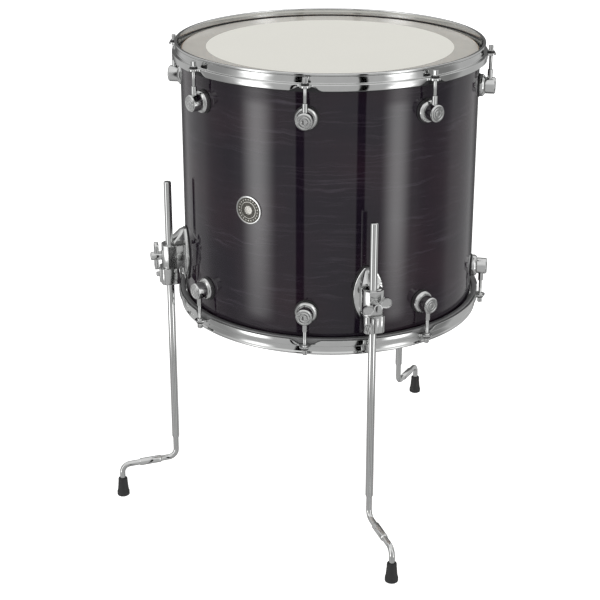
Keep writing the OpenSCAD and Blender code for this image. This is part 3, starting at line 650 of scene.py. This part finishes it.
# tension rods and their washers
rod = {"radius": 2.3, "headLow": -0.7, "flange": 4.3, "flangeHigh": 1.6, "key": 5.6, "keyHigh": 6.0,
       "end": -51.8, "threadTop": -27.0, "neck": -8, "pitch": 1.06, "threadDeep": 0.3, "keySunk": 0.4,
       "keyTurn": 17, "washerIn": 2.6, "washer": 5.2, "washerThick": 2.2}


def keyHead(width, height):
    # square head with softened edges and a domed top
    half = width / 2
    bm = box((-half, half), (-half, half), (0, height))
    soften(bm, 0.45, 2, pick=lambda e: abs(e.verts[0].co.z - e.verts[1].co.z) > 0.1)
    soften(bm, 1.0, 3, pick=lambda e: min(v.co.z for v in e.verts) > height - 0.01)
    return bm


def makeRod(place, name, body, cadNode):
    radius, low, high, pitch, seat = rod["radius"], rod["end"], rod["threadTop"], rod["pitch"], rod["headLow"]
    root, shoulder, flange = radius - rod["threadDeep"], seat + rod["flangeHigh"], rod["flange"]
    profile = [(0, low), (radius - 0.6, low)]
    for i in range(int((high - low - 1) / pitch)):
        z = low + 0.6 + i * pitch
        profile += [(root, z), (radius, z + pitch * 0.4), (radius, z + pitch * 0.6)]
    profile += [(root, high - 0.5), (radius, high), (radius, rod["neck"]), (radius, seat)]
    profile += rounded([(flange, seat, 0.3), (flange, seat + 1.1, 0.5), (rod["key"] / 2, shoulder, 0.3)], 2)
    profile.append((0, shoulder))
    sunk = rod["keySunk"]
    key = keyHead(rod["key"], rod["keyHigh"] + sunk)
    parts = [(turned(profile, 32), place), (key, place @ shift(z=shoulder - sunk) @ turn(rod["keyTurn"]))]
    makePiece(name, gather(parts), body, [chrome], [cadNode])


def makeRods():
    inner, outer, low = rod["washerIn"], rod["washer"], drum["ledge"] + drum["gap"]
    high = low + rod["washerThick"]
    ring = turned(rounded([(inner, low, 0.2), (outer, low, 0.3), (outer, high, 0.7), (inner, high, 0.3)], 3),
                  40, closed=True)
    places = [atEnd(end) @ facing(a, 0, drum["rodCircle"]) for end in (1, -1) for a in lugAngles]
    washers = gather([(ring, place) for place in places])
    makePiece("rodWashers", washers, "drum", [nylon], ["rod_washers"])
    for i, place in enumerate(places):
        number = f"{i + 1:02d}"
        makeRod(place, "keyRod" + number, "tension_rod_" + number, "tension_rod_" + number)


makeRods()
print("rods done")

# leg brackets
bracket = {"plateWide": 40, "plateHigh": 76, "plateThick": 3.5, "gasketThick": 1.5, "gasketEdge": 1.2,
           "lift": 1.5, "bulge": 0.56, "tip": 1.2, "strips": 14, "blockWide": 27, "blockHigh": 33,
           "hole": 5.5, "boltHole": 4.2, "boss": 7.5, "groove": 6.75, "lockGap": 14.5}


def lensOutline(wide, high):
    # two arcs that meet above and below, with blunt tips
    radius = (wide ** 2 / 4 + (high * bracket["bulge"]) ** 2) / wide
    swing, count = math.asin((high / 2 - bracket["tip"]) / radius), bracket["strips"]
    side = [(radius * math.cos(a) - (radius - wide / 2), radius * math.sin(a))
            for a in (swing * (2 * i / count - 1) for i in range(count + 1))]
    outline = [(y, z + bracket["lift"]) for y, z in side]
    outline += [(-y, z + bracket["lift"]) for y, z in reversed(side)]
    return outline


def bentPlate(wide, high, back, front, edge):
    # a flat plate in the (y, z) plane, sliced into strips and bent to the shell
    bm = gather([(prism(lensOutline(wide, high), back, front), frontOn)])
    soften(bm, edge, 3, above=40, pick=lambda e: min(v.co.x for v in e.verts) > front - 0.01)
    for i in range(1, bracket["strips"]):
        y = wide * (i / bracket["strips"] - 0.5)
        bmesh.ops.bisect_plane(bm, geom=bm.verts[:] + bm.edges[:] + bm.faces[:], plane_co=(0, y, 0),
                               plane_no=(0, 1, 0), dist=1e-4)
    return curveToShell(bm, back)


def bracketBlock(back, bore, tall, cheek):
    # half the block from above, mirrored: grooved cheeks and a blunt prow
    groove = bore - bracket["groove"]
    half = [(back, cheek - 1.5), (groove - 1.4, cheek), (groove - 0.5, cheek - 1.2),
            (groove + 0.5, cheek - 1.2), (groove + 1.4, cheek), (bore + 3.5, cheek), (bore + 7, cheek - 2.2),
            (bore + 10.25, bracket["boss"])]
    block = prism([(x, -y) for x, y in half] + half[::-1], -tall, tall)
    return soften(block, 0.9, 3, above=40, pick=lambda e: e.verts[0].co.z * e.verts[1].co.z > 0)


def bracketHood(front, back, bore, tall, cheek, top):
    # the side view of the hood over the leg, cut to its outline from the front
    tip, window = bore - 4.45, tall + 7.5
    hood = gather([(prism([(back, window), (tip - 5, window - 0.5), (tip - 1, tall + 2.6), (tip, tall + 3.2),
                           (tip, tall + 6), (front + 4, top - 3.5), (front, top - 1.5), (back, top - 1.5)],
                          -cheek - 1, cheek + 1), sideOn)])
    gable = gather([(prism([(-cheek, tall), (cheek, tall), (cheek, tall + 5), (6.5, top - 4), (3, top),
                            (-3, top), (-6.5, top - 4), (-cheek, tall + 5)], back - 1, bore + 2), frontOn)])
    return soften(carved(hood, ("INTERSECT", gable)), 0.7, 2, above=25)


def bracketWeb(front, back, bore, tall):
    # the rib under the block, clear of the memory lock
    low, lockBack = -bracket["plateHigh"] / 2 + bracket["lift"] + 4, bore - bracket["lockGap"]
    web = gather([(prism([(back, -tall + 1), (lockBack, -tall + 1), (lockBack, -tall - 1),
                          (front + 2, low + 4), (front, low), (back, low)], -10, 10), sideOn)])
    return soften(web, 1.0, 3, above=25)


def makeBracketBody(front, bore):
    tall, cheek = bracket["blockHigh"] / 2, bracket["blockWide"] / 2
    top, back = bracket["plateHigh"] / 2 + bracket["lift"], front - 2.6
    near, far, radius = bore + 8, bore + 11.45, bracket["boss"]
    boss = turned(rounded([(0, near), (radius, near), (radius, far, 0.5), (0, far)], 3), 48)
    legDrill = gather([(cylinder(bracket["hole"], -60, 60), shift(bore))])
    boltDrill = gather([(cylinder(bracket["boltHole"], bore, bore + 20, 32), outwards)])
    hood = bracketHood(front, back, bore, tall, cheek, top)
    return carved(bracketBlock(back, bore, tall, cheek), ("UNION", hood),
                  ("UNION", bracketWeb(front, back, bore, tall)), ("UNION", gather([(boss, outwards)])),
                  ("DIFFERENCE", legDrill), ("DIFFERENCE", boltDrill))


def makeBrackets():
    wall, gap, rim = drum["outside"], drum["gap"], 2 * bracket["gasketEdge"]
    seat = wall + bracket["gasketThick"]
    front = seat + bracket["plateThick"]
    wide, high = bracket["plateWide"], bracket["plateHigh"]
    pad = bentPlate(wide + rim, high + rim, wall + gap, seat - gap, 0.3)
    plate = bentPlate(wide, high, seat, front, 1.2)
    body = gather([(plate, shift()), (makeBracketBody(front, drum["legCircle"]), shift())])
    makePiece("bracketPads", gather([(pad, p) for p in bracketPlaces]), "drum", [rubber],
              ["bracket_gaskets"])
    makePiece("bracketCastings", gather([(body, p) for p in bracketPlaces]), "drum", [castChrome],
              ["bracket_bodies"], sharp=28)


makeBrackets()
print("brackets done")

# wing bolts
wing = {"thread": 4.0, "end": 234, "hub": 6.0, "hubLow": 239.75, "hubHigh": 254.5, "low": 243.5, "thick": 6.0,
        "span": 40, "tip": 7.2, "root": 3.6, "dishRim": 1.7, "dish": 1.3, "turns": (20, 90, 65)}


def wingOutline():
    # a root at the hub swelling to a round tip
    centre, tip, root = wing["span"] / 2 - wing["tip"], wing["tip"], wing["root"]
    arc = [(centre + tip * math.cos(a), tip * math.sin(a)) for a in map(math.radians, range(-105, 106, 15))]
    return [(2, -root), (wing["hub"], -root - 0.3)] + arc + [(wing["hub"], root + 0.3), (2, root)]


def makeWingBolts():
    thread, hubOut, low, high = wing["thread"], wing["hub"], wing["hubLow"], wing["hubHigh"]
    hub = turned(rounded([(0, wing["end"]), (thread, wing["end"], 0.3), (thread, low), (hubOut, low, 0.5),
                          (hubOut, high, 1.4), (0, high)], 4), 48)
    blade = prism(wingOutline(), 0, wing["thick"])
    faces = [f for f in blade.faces if abs(f.normal.z) > 0.9]
    bmesh.ops.inset_region(blade, faces=faces, thickness=wing["dishRim"], depth=0, use_even_offset=True)
    for face in faces:
        bmesh.ops.translate(blade, verts=face.verts, vec=-face.normal * wing["dish"])
    soften(blade, 0.6, 2, above=50)
    blades = [(blade, turn(spin, "X") @ shift(wing["low"]) @ frontOn) for spin in (0, 180)]
    bolt = gather([(hub, outwards)] + blades)
    for i, angle in enumerate(wing["turns"]):
        name = f"wing_bolt_{i + 1}"
        part = gather([(bolt.copy(), bracketPlaces[i] @ turn(angle, "X"))])
        makePiece(f"wingBolt{i + 1}", part, name, [castChrome], [name])
    bolt.free()


makeWingBolts()
print("wing bolts done")

# memory locks and their key bolts
lock = {"across": 27, "deep": 28, "height": 24, "corner": 6.5, "footEdge": 2.6, "lower": 40.8, "bore": 5.33,
        "slit": 1.6, "ribWide": 7.6, "ribOut": 1.4, "tabWide": 5, "tabDeep": 8, "tabHigh": 4, "tabInset": 3.5,
        "boltSide": 9.9, "boltHeight": 9.6, "boltRadius": 2.3, "boltHole": 2.4, "seatHole": 4.5, "flat": 11.3,
        "boltFlange": 3.9, "key": 5.6, "keyHigh": 4.9}


def makeLockBody():
    x, y, high, corner = lock["across"] / 2, lock["deep"] / 2, lock["height"], lock["corner"]
    body = prism(rounded([(x, -y, corner), (x, y, corner), (-x, y, corner), (-x, -y, corner)], 6), 0, high)
    soften(body, lock["footEdge"], 3, above=60, pick=lambda e: max(v.co.z for v in e.verts) < 0.01)
    soften(body, 0.6, 2, above=60, pick=lambda e: min(v.co.z for v in e.verts) > high - 0.01)
    ribHalf, tabX, tabY = lock["ribWide"] / 2, lock["tabDeep"] / 2, lock["tabWide"] / 2
    rib = soften(box((x - 1, x + lock["ribOut"]), (-ribHalf, ribHalf), (1.5, high - 1.5)), 0.9, 3)
    steps = [("UNION", rib)]
    for middle in (lock["tabInset"] - x, x - lock["tabInset"]):
        tab = box((-tabX, tabX), (middle - tabY, middle + tabY), (high - 1, high + lock["tabHigh"]))
        steps.append(("UNION", soften(tab, 0.6, 2)))
    steps.append(("DIFFERENCE", cylinder(lock["bore"], -5, 40)))
    steps.append(("DIFFERENCE", box((-lock["slit"] / 2, lock["slit"] / 2), (-30, 0), (-5, 40))))
    at = shift(0, -lock["boltSide"], lock["boltHeight"])
    steps.append(("DIFFERENCE", gather([(cylinder(lock["boltHole"], -30, 30, 32), at @ outwards)])))
    for spin in (0, 180):
        seat = cylinder(lock["seatHole"], lock["flat"], 30, 40)
        steps.append(("DIFFERENCE", gather([(seat, at @ turn(spin) @ outwards)])))
    return carved(body, *steps)


def makeLocks():
    body = makeLockBody()
    flat, radius, flange = lock["flat"], lock["boltRadius"], lock["boltFlange"]
    seat, end = flat + 0.15, flat + 2
    shank = turned(rounded([(0, -end), (radius, -end, 0.4), (radius, seat), (flange, seat, 0.3),
                            (flange, end, 0.4), (0, end)], 3), 36)
    key = keyHead(lock["key"], lock["keyHigh"])
    bolt = gather([(shank, outwards), (key, shift(flat + 1.9) @ outwards)])
    for i, place in enumerate(bracketPlaces):
        at = place @ shift(drum["legCircle"], 0, -lock["lower"])
        boltAt = at @ shift(0, -lock["boltSide"], lock["boltHeight"])
        name, boltName = f"memory_lock_{i + 1}", f"lock_key_bolt_{i + 1}"
        split, across = gather([(body.copy(), at)]), gather([(bolt.copy(), boltAt)])
        makePiece(f"memoryLock{i + 1}", split, name, [castChrome], [name], sharp=28)
        makePiece(f"lockKeyBolt{i + 1}", across, boltName, [chrome], [boltName])
    body.free()
    bolt.free()


makeLocks()
print("memory locks done")

# legs and feet
leg = {"radius": 5.25, "thin": 4.0, "top": 474.2, "step": 84.7, "corner": 52.4, "offset": 80, "slope": 3,
       "bend": 12, "bendSteps": 12, "thickLong": 30, "thickAt": 0.48, "end": 6, "turns": (6.5, 1.7, 6.4),
       "sides": 40, "foot": 9.0, "footTop": 6.3, "footHigh": 28}


def legStations():
    # (x, z, heading from straight down, radius) along the centreline
    thick, thin, bend, steps = leg["radius"], leg["thin"], leg["bend"], leg["bendSteps"]
    swing, slope = 90 - leg["slope"], math.radians(leg["slope"])
    reach = bend * math.tan(math.radians(swing / 2))
    footCorner = leg["corner"] - leg["offset"] * math.tan(slope)
    middle, half = leg["offset"] / math.cos(slope) * leg["thickAt"], leg["thickLong"] / 2
    top, step = leg["top"], leg["step"]
    stations = [(0, top, 0, thick - 1.2), (0, top - 0.5, 0, thick - 0.4), (0, top - 1.2, 0, thick),
                (0, step + 0.6, 0, thick), (0, step - 0.2, 0, thick - 0.25), (0, step - 2, 0, thin + 0.15),
                (0, step - 2.8, 0, thin)]
    for i in range(steps + 1):
        heading = swing * i / steps
        across, drop = bend * (1 - math.cos(math.radians(heading))), bend * math.sin(math.radians(heading))
        stations.append((across, leg["corner"] + reach - drop, heading, thin))
    taper = ((-1.8, thin), (-1.2, thin + 0.15), (-0.2, thick - 0.25), (0.4, thick))
    swell = [(middle - half + d, r) for d, r in taper] + [(middle + half - d, r) for d, r in reversed(taper)]
    stations += [(along * math.cos(slope), leg["corner"] - along * math.sin(slope), swing, r)
                 for along, r in swell]
    for i in range(steps + 1):
        heading = swing * (1 - i / steps)
        across, rise = bend * (1 - math.cos(math.radians(heading))), bend * math.sin(math.radians(heading))
        stations.append((leg["offset"] - across, footCorner - reach + rise, heading, thin))
    return stations + [(leg["offset"], leg["end"], 0, thin)]


def sweptBar(stations, sides):
    # a ring is extruded from station to station and capped
    bm = bmesh.new()
    places = [shift(x, 0, z) @ turn(-heading, "Y") @ turn(180, "X") @ Matrix.Diagonal((r, r, 1, 1))
              for x, z, heading, r in stations]
    bmesh.ops.create_circle(bm, radius=1, segments=sides, cap_ends=True, matrix=places[0])
    edges = bm.edges[:]
    for before, after in zip(places, places[1:]):
        grown = bmesh.ops.extrude_edge_only(bm, edges=edges)["geom"]
        verts = vertsIn(grown)
        bmesh.ops.transform(bm, matrix=after @ before.inverted(), verts=verts)
        edges = [e for e in grown if isinstance(e, bmesh.types.BMEdge) and all(v in verts for v in e.verts)]
        edges = [e for e in edges if len(e.link_faces) == 1]
    bmesh.ops.contextual_create(bm, geom=edges)
    bmesh.ops.recalc_face_normals(bm, faces=bm.faces)
    return bm


def makeLegs():
    bar = sweptBar(legStations(), leg["sides"])
    low, top, high = leg["foot"], leg["footTop"], leg["footHigh"]
    hole, bottom = leg["thin"] + 0.1, leg["end"] - 0.2
    foot = turned(rounded([(0, 0), (low - 1.5, 0, 0.3), (low, 1.0, 0.8), (low, 6, 1.2), (low - 1.1, 9.6, 1.5),
                           (top + 0.5, high - 6, 1), (top + 0.3, high - 1.2, 0.8), (top - 0.6, high, 0.5),
                           (hole, high, 0.2), (hole, bottom), (0, bottom)], 4), 56)
    for i, angle in enumerate(drum["bracketAngles"]):
        at = facing(angle, 0, drum["legCircle"]) @ turn(leg["turns"][i])
        name = f"leg_{i + 1}"
        makePiece(f"chromeLeg{i + 1}", gather([(bar.copy(), at)]), name, [chrome], [name])
        makePiece(f"rubberFoot{i + 1}", gather([(foot.copy(), at @ shift(leg["offset"], 0, 0))]), name,
                  [rubber], [f"foot_{i + 1}"])
    bar.free()
    foot.free()


makeLegs()
print("legs done")

# badge and vent
badge = {"radius": 19, "thick": 1.4, "rim": 2, "beads": 22, "beadAt": 14.1, "beadRadius": 1.3,
         # the face from the rim inwards: radius and depth
         "rings": ((18.2, 0), (17.2, 0), (16.7, 0.5), (11.6, 0.5), (11.2, 0.1), (10.5, 0.1), (10.1, 0.5),
                   (8, 0.5), (6, 0.5), (5.6, 0.1), (1.8, 0))}
vent = {"bore": 3.8, "neck": 5.3, "flange": 11, "thick": 1.65, "past": 4}


def makeBead(face):
    size = badge["beadRadius"]
    bead = turned([(0, face - 0.7), (size, face - 0.7), (size, face - 0.4), (size * 0.7, face - 0.1),
                   (0, face)], 12)
    for side in bead.faces:
        side.material_index = 1
    return bead


def makeBadge():
    back, radius, face = drum["outside"] + drum["gap"], badge["radius"], drum["outside"] + badge["thick"]
    profile = [(0, back), (radius / 2, back), (radius - 0.3, back), (radius, back + 0.25),
               (radius, face - 0.4), (radius - 0.3, face - 0.1)]
    profile += [(r, face - depth) for r, depth in badge["rings"]] + [(0, face)]
    disc = turned(profile, 96)
    for side in disc.faces:  # bright rim, darker sunk ground, worn raised rings
        at = side.calc_center_median()
        onRim = at.z < back + 0.55 or math.hypot(at.x, at.y) > radius - badge["rim"]
        side.material_index = 0 if onRim else 2 if at.z < face - 0.3 else 1
    bead, step = makeBead(face), 360 / badge["beads"]
    beads = [(bead, outwards @ turn(step * k) @ shift(badge["beadAt"])) for k in range(badge["beads"])]
    bm = curveToShell(gather([(disc, outwards)] + beads), drum["outside"])
    makePiece("roundBadge", gather([(bm, facing(0, drum["middle"]))]), "drum",
              [castChrome, badgeMetal, badgeGround], ["badge"])


def makeVent():
    wall, low, back = drum["outside"], drum["inside"] - vent["past"], drum["outside"] + drum["gap"]
    bore, neck, wide, high = vent["bore"], vent["neck"], vent["flange"], wall + vent["thick"]
    flange = turned(rounded([(bore, low), (neck, low, 0.3), (neck, back), (wide, back),
                             (wide, wall + 0.9, 0.4), (wide - 1.4, high, 0.6), (neck + 0.1, high, 0.8),
                             (bore, wall + 0.6, 0.8)], 4), 64, closed=True)
    makePiece("ventGrommet", gather([(flange, facing(drum["ventAngle"], drum["middle"]) @ outwards)]), "drum",
              [chrome], ["vent_grommet"])


makeBadge()
makeVent()
print("badge and vent done")

# pieces that stay as packed: screws, washers, shoes and the vent's nut
for names, slotName, material in (
        (("lug_screws", "lug_screw_washers", "bracket_screws", "bracket_screw_washers", "vent_grommet_nut"),
         "zinc_steel", zincSteel),
        (("clamp_shoes",), "brass", brass)):
    for name in names:
        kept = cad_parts[name]
        kept.data.materials.clear()
        kept.data.materials.append(material)

# floor and light
studio = {"white": 1.0, "floorGlow": 0.62, "floorSize": 12,
          "floorDrop": 0.09,  # below the feet when the legs are pulled right out
          # brightness by direction: 0 is straight down and 1 straight up
          "sky": ((0.2, 0.58), (0.45, 0.60), (0.62, 0.60), (0.82, 1.0), (1.0, 1.0)),
          # angle from the camera, inner and outer half width, brightness
          "shades": ((180, 20, 38, 0.15), (-92, 3, 22, 0.38), (88, 3, 22, 0.27), (-21.8, 2.3, 3.9, 0.0),
                     (24.2, 2.3, 3.9, 0.0)),
          # angle from the camera, half width, brightness
          "lamps": ((-56, 17, 4.0), (53, 14.5, 3.7)), "lampEdge": 2.2,
          # heights between which the lamps start, drop by half, and give way to the plain sky
          "lampFoot": (-0.45, -0.33), "lampBrow": (-0.25, -0.21), "reach": (0.45, 0.75)}


def makeFloor():
    bm = bmesh.new()
    bmesh.ops.create_grid(bm, x_segments=8, y_segments=8, size=studio["floorSize"])
    bmesh.ops.translate(bm, verts=bm.verts, vec=(0, 0, -studio["floorDrop"]))
    mesh = makeMesh("floor", bm)
    floor = bpy.data.objects.new("floor", mesh)
    bpy.context.scene.collection.objects.link(floor)
    material, tree, shader = newMaterial("paleFloor", rough=0.9, specular=0.1)
    cloud = noise(tree, objectPoint(tree), 1.5, 3)
    feed(tree, shader, "colour", mixed(tree, cloud, (0.90, 0.90, 0.895), (0.87, 0.87, 0.865)))
    shader.inputs["Emission Color"].default_value = (1, 1, 1, 1)
    shader.inputs["Emission Strength"].default_value = studio["floorGlow"]
    mesh.materials.append(material)
    floor.visible_glossy = False


def skyBand(tree, flat, angle, inner, outer, fall="SMOOTHSTEP"):
    # 1 within the inner half width of an upright band, 0 beyond the outer
    way = math.radians(view["azimuth"] + angle)
    side = (math.sin(way), -math.cos(way), 0)
    along = node(tree, "VectorMath", {0: flat, 1: side}, operation="DOT_PRODUCT")
    return node(tree, "MapRange", {"Value": along.outputs["Value"], "From Min": math.cos(math.radians(outer)),
                                   "From Max": math.cos(math.radians(inner))},
                interpolation_type=fall).outputs["Result"]


def makeStudio():
    # a soft pale room, darker at the back, with tall bright lamps and thin black joints between its panels
    world = bpy.data.worlds.new("studio")
    bpy.context.scene.world = world
    world.use_nodes = True
    tree = world.node_tree
    tree.nodes.clear()
    ray = node(tree, "TexCoord").outputs["Generated"]
    level = node(tree, "VectorMath", {0: ray, 1: (1, 1, 0)}, operation="MULTIPLY").outputs["Vector"]
    flat = node(tree, "VectorMath", {0: level}, operation="NORMALIZE").outputs["Vector"]
    height = node(tree, "SeparateXYZ", {"Vector": ray}).outputs["Z"]
    sky = light = ramp(tree, spread(tree, height, 0, 1, -1, 1), *studio["sky"])
    for angle, inner, outer, glow in studio["shades"]:
        light = mixed(tree, skyBand(tree, flat, angle, inner, outer), light, (glow,) * 3)
    foot = spread(tree, height, 0, 1, *studio["lampFoot"])
    brow = spread(tree, height, 1, 0.5, *studio["lampBrow"])
    for angle, outer, glow in studio["lamps"]:
        peak = node(tree, "Math", {0: skyBand(tree, flat, angle, 0, outer, "LINEAR"), 1: studio["lampEdge"]},
                    operation="POWER").outputs["Value"]
        for fade in (foot, brow):
            peak = node(tree, "Math", {0: peak, 1: fade}, operation="MULTIPLY").outputs["Value"]
        light = mixed(tree, peak, light, (glow,) * 3)
    light = mixed(tree, spread(tree, height, 0, 1, *studio["reach"]), light, sky)
    seen = node(tree, "LightPath").outputs["Is Camera Ray"]
    light = mixed(tree, seen, light, (studio["white"],) * 3)
    back = node(tree, "Background", {"Color": light, "Strength": 1.0})
    out = node(tree, "OutputWorld")
    tree.links.new(back.outputs["Background"], out.inputs["Surface"])


makeFloor()
makeStudio()
bpy.context.scene.view_settings.view_transform = "Standard"
print("floor and light done")
